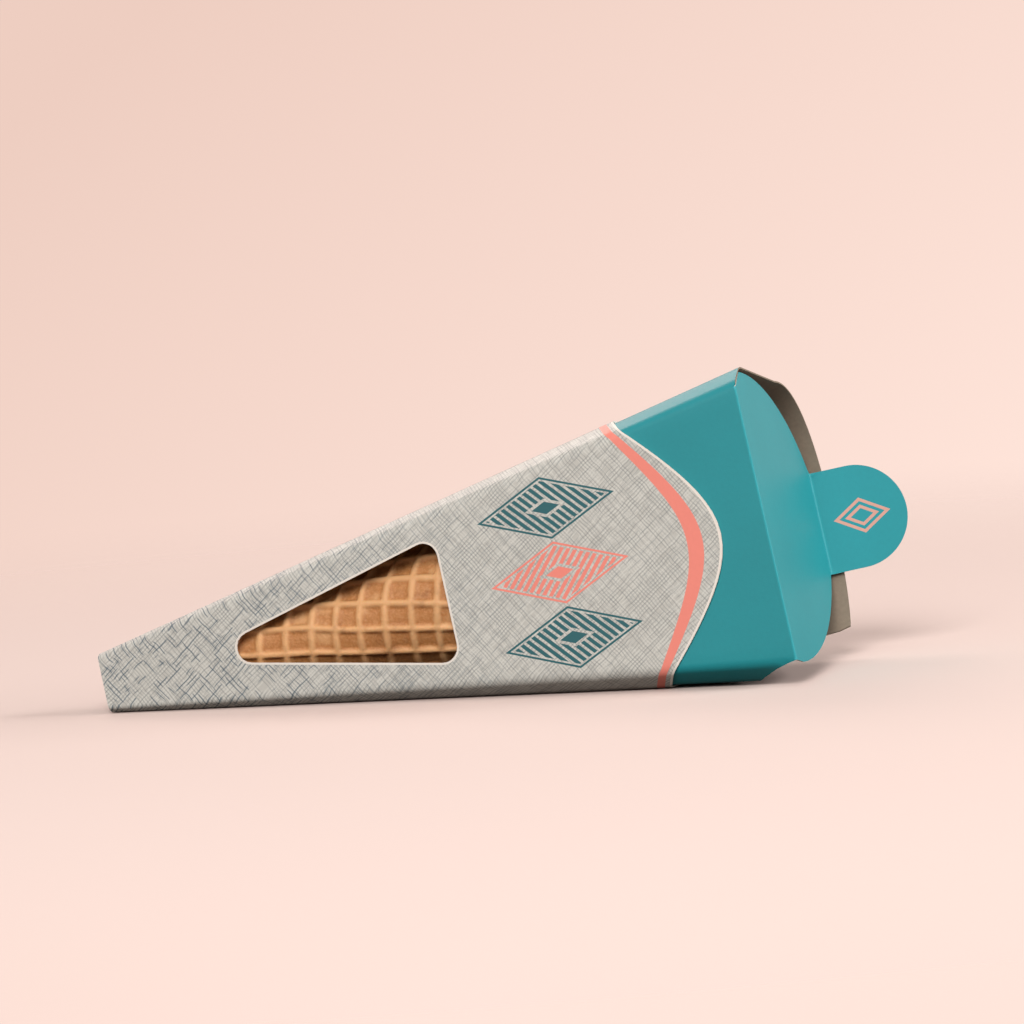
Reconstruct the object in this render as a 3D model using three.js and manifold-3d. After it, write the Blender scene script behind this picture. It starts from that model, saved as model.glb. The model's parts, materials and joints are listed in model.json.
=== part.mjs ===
// Carton for one waffle cone, lying on its side: a tapered board tube with a flat front and a
// rounded back, a D-shaped lid with a pull tab, a printed board sleeve with a window, and the
// waffle cone inside. Millimetres, +Z up, the front panel facing -Y, the mouth towards +X.
//
// Every board piece is drawn in the carton's own frame: s runs along the front panel from the
// narrow end to the mouth, d is the depth behind the front panel, w is across the panel.
// The carton is part of one pyramid: each section is the mouth's outline at a smaller scale.

import * as THREE from 'three';
import { mergeVertices } from 'three/addons/utils/BufferGeometryUtils.js';
import Module from 'manifold-3d';

const wasm = await Module();
wasm.setup();

// Board
const BOARD = 0.45;
const RUNNING_GAP = 0.3;

// Carton: the mouth's outline and the taper
const CARTON_LENGTH = 204;
const MOUTH_WIDTH = 80;
const TIP_WIDTH = 14.2;
const MOUTH_DEPTH = 73;
const RIDGE_DEPTH = 8;
const RIDGE_FLARE = 4.8;
const SIDE_DEPTH = 42;
const SIDE_LEAN = 3.4;
const BACK_FULLNESS = 2.4;
const FOLD_BLEND = 0.9;
const TIGHTEST_FOLD = 0.1;
const FOLD_STEPS = 3;
const FOLDS_PER_SIDE = 2;
const BACK_STEPS = 12;
const TIP_SETBACK = 0.4;

// Thumb notch in the lower side, at the mouth
const NOTCH_CENTRE_DEPTH = 32;
const NOTCH_HALF_WIDTH = 32;
const NOTCH_REACH = 21;
const NOTCH_STEPS = 40;

// Sleeve: how far its curved end stays from the mouth, and the curve
const SLEEVE_SETBACK = 13.2;
const EDGE_CURVE = 25;
const EDGE_SLOPE = 1.15;
const EDGE_STEPS = 24;
const LAP_WIDTH_SHARE = 0.2;

// Window: a triangle with its point towards the narrow end
const WINDOW_POINT = 28.7;
const WINDOW_BASE = 108.1;
const WINDOW_HALF_WIDTH = 18.3;
const WINDOW_CORNER_RADIUS = 4.4;
const WINDOW_MARGIN = 1.2;
const WINDOW_CORNER_STEPS = 10;

// Lid and pull tab
const LID_EAR_DEPTH = 7;
const LID_SIDE_GAP = 0.6;
const LID_REACH = 74;
const LID_FULLNESS = 1.85;
const LID_SINK_ANGLE = 1.3;
const LID_STEPS = 14;
const TAB_WIDTH = 30;
const TAB_LENGTH = 25.5;
const TAB_STEPS = 24;

// Waffle cone
const CONE_LENGTH = 155;
const CONE_WALL = 2.6;
const CONE_FRONT_GAP = 1.2;
const CONE_BACK_GAP = 0.3;
const CONE_TIP_GAP = 1.2;
const CONE_TIP_ROUND = 3;
const CONE_TIP_FLAT = 0.6;
const CONE_SHOULDER = 0.9;
const CONE_SHOULDER_PLACE = 0.4;
const CONE_SIDES = 48;

// Cutters reach this far past what they cut, and mesh points closer than the weld are one point
const CUT_CLEARANCE = 1;
const WELD_DISTANCE = 1e-5;

const tipScale = TIP_WIDTH / MOUTH_WIDTH;
const apexDistance = (CARTON_LENGTH * tipScale) / (1 - tipScale);
const scaleAt = (s) => (s + apexDistance) / (CARTON_LENGTH + apexDistance);
const flareAt = (depth) => MOUTH_WIDTH / 2 + (RIDGE_FLARE * depth) / RIDGE_DEPTH;

// Half of the mouth's outline as (d, w), from the front fold round to the middle of the back.
// The first two corners are folds of the board, and the rest is one smooth bend.
function halfMouth() {
  const ridgeWidth = flareAt(RIDGE_DEPTH);
  const sideWidth = ridgeWidth - SIDE_LEAN;
  const backDepth = MOUTH_DEPTH - SIDE_DEPTH;
  const points = [
    new THREE.Vector2(0, flareAt(0)),
    new THREE.Vector2(RIDGE_DEPTH, ridgeWidth),
    new THREE.Vector2(SIDE_DEPTH, sideWidth),
  ];
  for (let i = 1; i <= BACK_STEPS; i++) {
    const turn = (i / BACK_STEPS) * (Math.PI / 2);
    const across = i === BACK_STEPS ? 0 : Math.cos(turn) ** (2 / BACK_FULLNESS);
    const behind = Math.sin(turn) ** (2 / BACK_FULLNESS);
    points.push(new THREE.Vector2(SIDE_DEPTH + backDepth * behind, sideWidth * across));
  }
  return points;
}

const upperHalf = halfMouth();
const lowerHalf = upperHalf.slice(0, -1).reverse().map((p) => new THREE.Vector2(p.x, -p.y));
const mouthOutline = [...upperHalf, ...lowerHalf];
const isFold = (i) => i < FOLDS_PER_SIDE || i >= mouthOutline.length - FOLDS_PER_SIDE;

// The outline at one place along the carton, moved out square to itself by offset, with each
// fold rounded. A fold seen from inside is tighter than from outside.
function sectionAt(s, offset) {
  const scale = scaleAt(s);
  const count = mouthOutline.length;
  const edgeAt = (i) => mouthOutline[(i + 1) % count].clone().sub(mouthOutline[i]).normalize();
  const normalOf = (edge) => new THREE.Vector2(-edge.y, edge.x);
  const ring = [];
  mouthOutline.forEach((point, i) => {
    const inEdge = edgeAt((i + count - 1) % count);
    const outEdge = edgeAt(i);
    const normal = normalOf(inEdge).add(normalOf(outEdge)).normalize();
    const halfTurn = Math.acos(normal.dot(normalOf(inEdge)));
    const corner = point.clone().multiplyScalar(scale);
    corner.addScaledVector(normal, offset / Math.cos(halfTurn));
    if (!isFold(i)) {
      ring.push(corner);
      return;
    }
    const blend = Math.max(TIGHTEST_FOLD, FOLD_BLEND * scale + offset * Math.tan(halfTurn));
    const bend = new THREE.QuadraticBezierCurve(
      corner.clone().addScaledVector(inEdge, -blend),
      corner,
      corner.clone().addScaledVector(outEdge, blend),
    );
    ring.push(...bend.getPoints(FOLD_STEPS));
  });
  return ring;
}

function solidFrom(geometry) {
  geometry.deleteAttribute('normal');
  geometry.deleteAttribute('uv');
  const merged = mergeVertices(geometry, WELD_DISTANCE);
  return new wasm.Manifold(new wasm.Mesh({
    numProp: 3,
    vertProperties: new Float32Array(merged.attributes.position.array),
    triVerts: new Uint32Array(merged.index.array),
  }));
}

function geometryFrom(solid) {
  const mesh = solid.getMesh();
  const geometry = new THREE.BufferGeometry();
  geometry.setAttribute('position', new THREE.BufferAttribute(mesh.vertProperties, 3));
  geometry.setIndex(new THREE.BufferAttribute(mesh.triVerts, 1));
  geometry.computeVertexNormals();
  return geometry;
}

// A straight-sided solid between two rings of (d, w) points.
function loft(startS, startRing, endS, endRing) {
  const count = startRing.length;
  const positions = [];
  for (const [s, ring] of [[startS, startRing], [endS, endRing]]) {
    ring.forEach((p) => positions.push(s, p.x, p.y));
  }
  const faces = [];
  for (let i = 0; i < count; i++) {
    const next = (i + 1) % count;
    faces.push(i, next, count + i, next, count + next, count + i);
  }
  THREE.ShapeUtils.triangulateShape(startRing, []).forEach(([a, b, c]) => faces.push(a, c, b));
  THREE.ShapeUtils.triangulateShape(endRing, []).forEach(([a, b, c]) => {
    faces.push(count + a, count + b, count + c);
  });
  const geometry = new THREE.BufferGeometry();
  geometry.setAttribute('position', new THREE.Float32BufferAttribute(positions, 3));
  geometry.setIndex(faces);
  return solidFrom(geometry);
}

const tube = (startS, endS, offset) => loft(
  startS, sectionAt(startS, offset).reverse(),
  endS, sectionAt(endS, offset).reverse(),
);

// A cutter with an outline in (s, w), from one depth to another.
function throughDepth(shape, fromDepth, toDepth) {
  const geometry = new THREE.ExtrudeGeometry(shape, {
    depth: toDepth - fromDepth, bevelEnabled: false, curveSegments: WINDOW_CORNER_STEPS,
  });
  geometry.rotateX(Math.PI / 2);
  geometry.translate(0, toDepth, 0);
  return solidFrom(geometry);
}

// A polygon with its corners moved out by margin and rounded.
function roundedOutline(corners, radius, margin) {
  const shape = new THREE.Shape();
  corners.forEach((corner, i) => {
    const toPrevious = corners.at(i - 1).clone().sub(corner).normalize();
    const toNext = corners[(i + 1) % corners.length].clone().sub(corner).normalize();
    const halfAngle = Math.acos(toPrevious.dot(toNext)) / 2;
    const inward = toPrevious.clone().add(toNext).normalize();
    const centre = corner.clone().addScaledVector(inward, radius / Math.sin(halfAngle));
    const turn = Math.PI / 2 - halfAngle;
    const middle = Math.atan2(-inward.y, -inward.x);
    shape.absarc(centre.x, centre.y, radius + margin, middle - turn, middle + turn, false);
  });
  return shape;
}

function windowShape(margin) {
  const corners = [
    new THREE.Vector2(WINDOW_POINT, 0),
    new THREE.Vector2(WINDOW_BASE, -WINDOW_HALF_WIDTH),
    new THREE.Vector2(WINDOW_BASE, WINDOW_HALF_WIDTH),
  ];
  return roundedOutline(corners, WINDOW_CORNER_RADIUS, margin);
}

const windowDepth = RIDGE_DEPTH * scaleAt(WINDOW_POINT);

function makeCarton() {
  const outside = tube(TIP_SETBACK, CARTON_LENGTH, 0);
  const inside = tube(TIP_SETBACK + BOARD, CARTON_LENGTH + CUT_CLEARANCE, -BOARD);
  const hingeCut = new THREE.BoxGeometry(BOARD + RUNNING_GAP, BOARD * 2, MOUTH_WIDTH);
  hingeCut.translate(CARTON_LENGTH - (BOARD + RUNNING_GAP) / 2, 0, 0);
  const notch = new THREE.CylinderGeometry(1, 1, MOUTH_WIDTH / 2, NOTCH_STEPS);
  notch.rotateX(Math.PI / 2);
  notch.scale(NOTCH_REACH, NOTCH_HALF_WIDTH, 1);
  notch.translate(CARTON_LENGTH, NOTCH_CENTRE_DEPTH, -MOUTH_WIDTH / 2);
  return outside
    .subtract(inside)
    .subtract(throughDepth(windowShape(WINDOW_MARGIN), -windowDepth, windowDepth))
    .subtract(solidFrom(hingeCut))
    .subtract(solidFrom(notch));
}

// Beyond the sleeve's mouth end, which bulges towards the mouth in the middle of each face.
function sleeveEndShape() {
  const reach = flareAt(RIDGE_DEPTH) + CUT_CLEARANCE;
  const far = CARTON_LENGTH + CUT_CLEARANCE;
  const shape = new THREE.Shape();
  shape.moveTo(far, -reach);
  shape.lineTo(far, reach);
  for (let i = 0; i <= EDGE_STEPS; i++) {
    const across = reach - (2 * reach * i) / EDGE_STEPS;
    const drop = Math.hypot(EDGE_CURVE, EDGE_SLOPE * across) - EDGE_CURVE;
    shape.lineTo(CARTON_LENGTH - SLEEVE_SETBACK - drop, across);
  }
  return shape;
}

// The lap where the sleeve's blank is glued: a second layer on the middle of the back.
function lapStrip(innerOffset, outerOffset) {
  const half = Math.ceil(BACK_STEPS * LAP_WIDTH_SHARE);
  const middle = upperHalf.length - 1 + FOLDS_PER_SIDE * FOLD_STEPS;
  const ringAt = (s) => {
    const inner = sectionAt(s, innerOffset).slice(middle - half, middle + half + 1);
    const outer = sectionAt(s, outerOffset).slice(middle - half, middle + half + 1);
    return [...inner, ...outer.reverse()];
  };
  return loft(0, ringAt(0), CARTON_LENGTH, ringAt(CARTON_LENGTH));
}

function makeSleeve() {
  const outer = RUNNING_GAP + BOARD;
  const wall = tube(0, CARTON_LENGTH, outer)
    .subtract(tube(-CUT_CLEARANCE, CARTON_LENGTH + CUT_CLEARANCE, RUNNING_GAP));
  const lap = lapStrip(outer - BOARD / 2, outer + BOARD);
  return wall
    .add(lap)
    .subtract(throughDepth(windowShape(0), -windowDepth, windowDepth))
    .subtract(throughDepth(sleeveEndShape(), -MOUTH_DEPTH, 2 * MOUTH_DEPTH));
}

// The lid's outline as (d, w): ears that follow the flared sides, then a round edge.
function lidShape(tabDepth) {
  const wallGap = BOARD + LID_SIDE_GAP;
  const earWidth = flareAt(LID_EAR_DEPTH) - wallGap;
  const roundDepth = LID_REACH - LID_EAR_DEPTH;
  const shape = new THREE.Shape();
  shape.moveTo(0, -(flareAt(0) - wallGap));
  const edge = [];
  for (let i = 0; i <= LID_STEPS; i++) {
    const turn = (i / LID_STEPS) * (Math.PI / 2);
    const across = earWidth * Math.cos(turn) ** (2 / LID_FULLNESS);
    if (across <= TAB_WIDTH / 2) break;
    const depth = LID_EAR_DEPTH + roundDepth * Math.sin(turn) ** (2 / LID_FULLNESS);
    edge.push(new THREE.Vector2(depth, across));
  }
  edge.push(new THREE.Vector2(tabDepth, TAB_WIDTH / 2));
  edge.forEach((p) => shape.lineTo(p.x, -p.y));
  edge.reverse().forEach((p) => shape.lineTo(p.x, p.y));
  shape.lineTo(0, flareAt(0) - wallGap);
  return shape;
}

// The pull tab as (t, w), t along the tab from the lid's back edge to its round end.
function tabShape() {
  const half = TAB_WIDTH / 2;
  const shape = new THREE.Shape();
  shape.moveTo(-BOARD / 2, -half);
  shape.absarc(TAB_LENGTH - half, 0, half, -Math.PI / 2, Math.PI / 2, false);
  shape.lineTo(-BOARD / 2, half);
  return shape;
}

function makeLid() {
  const earWidth = flareAt(LID_EAR_DEPTH) - BOARD - LID_SIDE_GAP;
  const share = 1 - (TAB_WIDTH / 2 / earWidth) ** LID_FULLNESS;
  const tabDepth = LID_EAR_DEPTH + (LID_REACH - LID_EAR_DEPTH) * share ** (1 / LID_FULLNESS);
  const backSlope = Math.atan(MOUTH_DEPTH / (CARTON_LENGTH + apexDistance));

  const plate = new THREE.ExtrudeGeometry(lidShape(tabDepth), {
    depth: BOARD, bevelEnabled: false,
  });
  plate.rotateX(Math.PI / 2);
  plate.rotateZ(Math.PI / 2);

  const tab = new THREE.ExtrudeGeometry(tabShape(), {
    depth: BOARD, bevelEnabled: false, curveSegments: TAB_STEPS,
  });
  tab.rotateX(Math.PI / 2);
  tab.rotateZ(backSlope);
  tab.translate(-BOARD / 2, tabDepth, 0);

  const lid = geometryFrom(solidFrom(plate).add(solidFrom(tab)));
  lid.rotateZ(THREE.MathUtils.degToRad(LID_SINK_ANGLE));
  lid.translate(CARTON_LENGTH, 0, 0);
  return lid;
}

// The cone is wedged between the front panel and the back, which meet at the same slopes.
function makeCone() {
  const backSlope = MOUTH_DEPTH / (CARTON_LENGTH + apexDistance);
  const backAngle = Math.atan(backSlope);
  const halfAngle = backAngle / 2;
  const frontLine = BOARD + CONE_FRONT_GAP;
  const backLine = (BOARD + CONE_BACK_GAP) / Math.cos(backAngle);
  const apexS = (frontLine + backLine) / backSlope - apexDistance;
  const start = (TIP_SETBACK + BOARD + CONE_TIP_GAP - apexS) / Math.cos(halfAngle);
  const end = start + CONE_LENGTH;
  const outer = (along) => along * Math.tan(halfAngle);
  const wall = CONE_WALL / Math.cos(halfAngle);
  const inner = (along) => outer(along) - wall;
  const innerStart = start + CONE_TIP_ROUND + CONE_WALL;

  const profile = [
    new THREE.Vector2(0, start),
    new THREE.Vector2(outer(start) * CONE_TIP_FLAT, start),
    new THREE.Vector2(outer(start) * CONE_SHOULDER, start + CONE_TIP_ROUND * CONE_SHOULDER_PLACE),
    new THREE.Vector2(outer(start + CONE_TIP_ROUND), start + CONE_TIP_ROUND),
    new THREE.Vector2(outer(end), end),
    new THREE.Vector2(inner(end), end),
    new THREE.Vector2(inner(innerStart), innerStart),
    new THREE.Vector2(0, innerStart),
  ];
  const cone = new THREE.LatheGeometry(profile, CONE_SIDES);
  cone.rotateZ(-Math.PI / 2 + halfAngle);
  cone.translate(apexS, frontLine, 0);
  return geometryFrom(solidFrom(cone));
}

const board = (color, roughness) => new THREE.MeshStandardMaterial({
  color, roughness, metalness: 0,
});

function piece(name, geometry, material) {
  const mesh = new THREE.Mesh(geometry, material);
  mesh.name = name;
  return mesh;
}

const pack = new THREE.Group();
pack.add(
  piece('carton', geometryFrom(makeCarton()), board(0x329194, 0.5)),
  piece('lid', makeLid(), board(0x4fa8ab, 0.5)),
  piece('sleeve', geometryFrom(makeSleeve()), board(0xc8c0b6, 0.7)),
  piece('waffle_cone', makeCone(), board(0xb5783c, 0.85)),
);

// The pack lies on its flat lower side: turn the side's plane under the sleeve into the floor.
function restingFrame() {
  const apex = new THREE.Vector3(-apexDistance, 0, 0);
  const toRidge = new THREE.Vector3(CARTON_LENGTH, RIDGE_DEPTH, -flareAt(RIDGE_DEPTH)).sub(apex);
  const sideWidth = flareAt(RIDGE_DEPTH) - SIDE_LEAN;
  const toSideEnd = new THREE.Vector3(CARTON_LENGTH, SIDE_DEPTH, -sideWidth).sub(apex);
  const up = toRidge.clone().cross(toSideEnd).normalize();
  const along = new THREE.Vector3(1, 0, 0).addScaledVector(up, -up.x).normalize();
  const back = up.clone().cross(along);
  return new THREE.Matrix4().makeBasis(along, back, up).invert();
}

pack.quaternion.setFromRotationMatrix(restingFrame());
pack.updateMatrixWorld(true);
const box = new THREE.Box3().setFromObject(pack, true);
pack.position.set(-(box.min.x + box.max.x) / 2, -(box.min.y + box.max.y) / 2, -box.min.z);

const part = new THREE.Group();
part.add(pack);

export default part;
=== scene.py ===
# %% [markdown]
# # A board carton for a waffle cone
#
# The real object is two sheets of printed board and one baked cone. The teal sheet is folded into
# a tapered tube with a lid. The printed sheet is a sleeve that slides over the tube. This lesson
# builds each sheet the way a carton maker does: the flat blank is cut first, then it is rolled
# round the tube's section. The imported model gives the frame, so nothing is fitted by eye.

# %% Load the frame
import json
import math
from bisect import bisect_right

import bpy
from mathutils import Matrix, Vector, geometry, noise

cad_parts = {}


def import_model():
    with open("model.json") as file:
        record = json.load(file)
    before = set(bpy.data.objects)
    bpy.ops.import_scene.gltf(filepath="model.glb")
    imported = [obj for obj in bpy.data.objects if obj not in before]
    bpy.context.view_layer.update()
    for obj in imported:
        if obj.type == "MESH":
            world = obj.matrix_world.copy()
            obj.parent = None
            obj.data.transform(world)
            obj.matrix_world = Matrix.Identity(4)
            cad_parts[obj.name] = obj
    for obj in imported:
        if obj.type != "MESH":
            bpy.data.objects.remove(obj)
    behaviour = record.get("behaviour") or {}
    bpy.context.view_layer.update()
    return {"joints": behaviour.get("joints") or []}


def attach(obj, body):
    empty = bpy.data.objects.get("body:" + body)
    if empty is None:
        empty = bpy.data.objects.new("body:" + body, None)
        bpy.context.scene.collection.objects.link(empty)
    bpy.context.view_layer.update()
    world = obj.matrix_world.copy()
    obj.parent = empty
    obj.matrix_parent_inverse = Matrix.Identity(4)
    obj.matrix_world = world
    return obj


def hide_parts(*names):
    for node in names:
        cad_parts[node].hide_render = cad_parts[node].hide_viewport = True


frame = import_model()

# %% [markdown]
# ## The carton's own axes
#
# The pack lies tilted on the floor, so its sizes are easier to read in axes of its own: s runs
# along the front panel from the narrow end, d is the depth behind the panel, and w is across it.
# All sections of the tube are one outline at different scales, because all its folds meet at one
# point, the apex. The same few sizes then give every fold, and the pose on the floor.

# %% Sizes of the carton, in metres
MM = 0.001
BOARD = 0.45 * MM
RUNNING_GAP = 0.3 * MM
CARTON_LENGTH = 204 * MM
HALF_MOUTH = 40 * MM
HALF_TIP = 7.1 * MM
MOUTH_DEPTH = 73 * MM
RIDGE_DEPTH = 8 * MM
RIDGE_FLARE = 4.8 * MM
SIDE_DEPTH = 42 * MM
SIDE_LEAN = 3.4 * MM
BACK_FULLNESS = 2.4

TIP_SCALE = HALF_TIP / HALF_MOUTH
APEX_DISTANCE = CARTON_LENGTH * TIP_SCALE / (1 - TIP_SCALE)
FULL_LENGTH = CARTON_LENGTH + APEX_DISTANCE


def scale_at(s):
    return (s + APEX_DISTANCE) / FULL_LENGTH


def flare_at(depth):
    return HALF_MOUTH + RIDGE_FLARE * depth / RIDGE_DEPTH


# %% The pose on the floor
def resting_axes():
    """The carton's axes when its flat lower side lies on the floor."""
    ridge = Vector((FULL_LENGTH, RIDGE_DEPTH, -flare_at(RIDGE_DEPTH)))
    side_end = Vector((FULL_LENGTH, SIDE_DEPTH, SIDE_LEAN - flare_at(RIDGE_DEPTH)))
    up = ridge.cross(side_end).normalized()
    along = Vector((1, 0, 0))
    along = (along - up * along.dot(up)).normalized()
    back = up.cross(along)
    return Matrix((along, back, up))


hinge = frame["joints"][0]
HINGE_SETBACK = BOARD + RUNNING_GAP / 2
turn = resting_axes()
origin = Vector(hinge["pos_m"]) - turn @ Vector((CARTON_LENGTH - HINGE_SETBACK, 0, 0))


def world(s, d, w):
    return origin + turn @ Vector((s, d, w))


print("narrow end of the front panel at", [round(v, 4) for v in world(0, 0, 0)])

# %% [markdown]
# ## The section
#
# The mouth's outline is a flat front, a fold, a short flared strip, a second fold, a flat side and
# a round back. A fold in board is a small bend and not a sharp corner, so each fold becomes a
# short curve. The outline is a list of corners, and a helper moves it in or out by the board's
# thickness, which keeps the sheets parallel all the way round.

# %% The outline as corners
BACK_STEPS = 34
FOLD_STEPS = 6
FOLD_BLEND = 2.2 * MM
TIGHTEST_FOLD = 0.12 * MM
FOLDS_PER_SIDE = 2


def half_mouth():
    ridge_width = flare_at(RIDGE_DEPTH)
    side_width = ridge_width - SIDE_LEAN
    points = [
        Vector((0, HALF_MOUTH)),
        Vector((RIDGE_DEPTH, ridge_width)),
        Vector((SIDE_DEPTH, side_width)),
    ]
    for step in range(1, BACK_STEPS + 1):
        angle = step / BACK_STEPS * math.pi / 2
        across = max(0.0, math.cos(angle)) ** (2 / BACK_FULLNESS) if step < BACK_STEPS else 0
        behind = math.sin(angle) ** (2 / BACK_FULLNESS)
        depth = SIDE_DEPTH + (MOUTH_DEPTH - SIDE_DEPTH) * behind
        points.append(Vector((depth, side_width * across)))
    return points


upper = half_mouth()
corners = upper + [Vector((p.x, -p.y)) for p in reversed(upper[:-1])]
print("corners in the outline:", len(corners))


# %% One section, moved out by an offset
def left_normal(edge):
    return Vector((-edge.y, edge.x))


def bend_points(start, corner, end):
    points = []
    for step in range(FOLD_STEPS + 1):
        t = step / FOLD_STEPS
        points.append(start * (1 - t) ** 2 + corner * 2 * t * (1 - t) + end * t ** 2)
    return points


def section_at(s, offset):
    """The outline at s as (d, w) points, starting behind the back's middle and going once round."""
    scale = scale_at(s)
    count = len(corners)
    edges = [(corners[(i + 1) % count] - corners[i]).normalized() for i in range(count)]
    ring = []
    for i, point in enumerate(corners):
        before, after = edges[i - 1], edges[i]
        normal = (left_normal(before) + left_normal(after)).normalized()
        cosine = normal.dot(left_normal(before))
        corner = point * scale + normal * (offset / cosine)
        if FOLDS_PER_SIDE <= i < count - FOLDS_PER_SIDE:
            ring.append(corner)
            continue
        half_turn = math.acos(min(1, cosine))
        blend = max(TIGHTEST_FOLD, FOLD_BLEND * scale + offset * math.tan(half_turn))
        ring += bend_points(corner - before * blend, corner, corner + after * blend)
    middle = len(upper) - 1 + FOLDS_PER_SIDE * FOLD_STEPS
    return ring[middle:] + ring[:middle + 1]


mouth_ring = section_at(CARTON_LENGTH, 0)
print("points in one section:", len(mouth_ring))

# %% [markdown]
# ## The flat blank
#
# A place on a blank is two numbers: how far round the section it is, and how far along. The way
# round is measured on the mouth's outline, with zero in the middle of the front panel. On the
# front panel the second number times the scale is then just w. Unrolled on a table, the blank is
# a fan round the apex. Its flat coordinates keep the print free of stretch, so they are stored on
# the mesh for the materials, together with s, d and w.

# %% Distance round the section
round_at = [0.0]
for a, b in zip(mouth_ring, mouth_ring[1:]):
    round_at.append(round_at[-1] + (b - a).length)
HALF_ROUND = round_at[-1] / 2
round_at = [value - HALF_ROUND for value in round_at]

fan_angle = [0.0]
for a, b in zip(mouth_ring, mouth_ring[1:]):
    ray_a = Vector((FULL_LENGTH, a.x, a.y))
    ray_b = Vector((FULL_LENGTH, b.x, b.y))
    fan_angle.append(fan_angle[-1] + ray_a.angle(ray_b))
HALF_FAN = fan_angle[-1] / 2
fan_angle = [value - HALF_FAN for value in fan_angle]
print("round the mouth:", round(2 * HALF_ROUND / MM, 1), "mm")

section_cache = {}


def locate(around):
    """The section's span that holds a place, and how far into the span it is."""
    span = min(max(bisect_right(round_at, around) - 1, 0), len(round_at) - 2)
    share = (around - round_at[span]) / (round_at[span + 1] - round_at[span])
    return span, share


def rolled(around, s, offset):
    """(s, d, w) of a place on a blank that is rolled up at an offset from the carton's face."""
    if around > HALF_ROUND:
        around -= 2 * HALF_ROUND
    if around < -HALF_ROUND:
        around += 2 * HALF_ROUND
    key = (round(s, 7), round(offset, 7))
    if key not in section_cache:
        section_cache[key] = section_at(s, offset)
    ring = section_cache[key]
    span, share = locate(around)
    point = ring[span].lerp(ring[span + 1], share)
    return s, point.x, point.y


def flat_place(around, s):
    """The same place on the unrolled blank, in metres from the apex."""
    span, share = locate(around)
    angle = fan_angle[span] + (fan_angle[span + 1] - fan_angle[span]) * share
    a, b = mouth_ring[span], mouth_ring[span + 1]
    point = a.lerp(b, share)
    reach = Vector((FULL_LENGTH, point.x, point.y)).length * scale_at(s)
    return reach * math.cos(angle), reach * math.sin(angle)


# %% [markdown]
# ## Cutting a blank
#
# A die cuts the outline and the window in one stroke. In Blender the like of that is a constrained
# Delaunay triangulation: it takes the outline, the window and a grid of inner points, and gives a
# clean mesh that follows them all. The grid has a column on each point of the section, so every
# fold has its own vertices. Each triangle that falls in the window is left out.

# %% Cut and roll
ROW_STEP = 3.4 * MM
LAST_ROW_SHARE = 0.4
RIM_CLEAR = 0.6 * MM
CUT_PRECISION = 1e-7
FACE, BACK, CORE = 0, 1, 2


def inside(point, loop):
    """True if a flat point lies inside a closed loop of points."""
    x, y = point
    hit = False
    for (x1, y1), (x2, y2) in zip(loop, loop[1:] + loop[:1]):
        if (y1 > y) != (y2 > y) and x < (x2 - x1) * (y - y1) / (y2 - y1) + x1:
            hit = not hit
    return hit


def nearest(point, loop):
    return min(math.hypot(point[0] - x, point[1] - y) for x, y in loop)


def evenly(low, high, steps):
    """The values that divide a span into even steps, without its two ends."""
    return [low + (high - low) * i / steps for i in range(1, steps)]


def divided(around, start, stop):
    """Places along a side of the blank, between its two ends."""
    rows = max(2, round((stop - start) / ROW_STEP))
    return [(around, s) for s in evenly(start, stop, rows)]


def loop_edges(loop, first=0):
    return [(first + i, first + (i + 1) % len(loop)) for i in range(len(loop))]


def triangulate(points, edges):
    made = geometry.delaunay_2d_cdt([Vector(p) for p in points], edges, [], 1, CUT_PRECISION)
    return made[0], made[2]


def cut_blank(columns, start, end_at, window, rim_loop):
    """Triangulates a blank. end_at(around) is where it ends, window and rim_loop are loops."""
    ends = [(a, end_at(a)) for a in columns]
    outline = [(a, start) for a in columns]
    outline += divided(columns[-1], start, ends[-1][1]) + ends[::-1]
    outline += divided(columns[0], start, ends[0][1])[::-1]
    points = list(outline)
    edges = loop_edges(outline)
    for loop in (window, rim_loop):
        edges += loop_edges(loop, len(points))
        points += loop
    for a in columns[1:-1]:
        stop = end_at(a)
        row = start + ROW_STEP
        while row < stop - ROW_STEP * LAST_ROW_SHARE:
            place = (a, row)
            if not inside(place, rim_loop) and nearest(place, rim_loop) > RIM_CLEAR:
                points.append(place)
            row += ROW_STEP
    places, faces = triangulate(points, edges)
    kept, pale = [], []
    for face in faces:
        centre = sum((places[i] for i in face), Vector((0, 0))) / len(face)
        if not inside(centre, window):
            kept.append(face)
            pale.append(inside(centre, rim_loop))
    return places, kept, pale


# %% From a cut blank to a sheet with two skins
def two_skins(faces, count):
    """The polygons of both skins and of the cut edge, and the edge's pairs of points."""
    used = {(a, b): True for face in faces for a, b in zip(face, list(face[1:]) + [face[0]])}
    rim = [(a, b) for a, b in used if (b, a) not in used]
    polygons = [tuple(face) for face in faces]
    polygons += [tuple(count + i for i in reversed(face)) for face in faces]
    polygons += [(b, a, count + a, count + b) for a, b in rim]
    return polygons, rim


def store_vectors(mesh, name, vectors):
    held = mesh.attributes.new(name, "FLOAT_VECTOR", "POINT")
    held.data.foreach_set("vector", [value for vector in vectors for value in vector])


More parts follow.
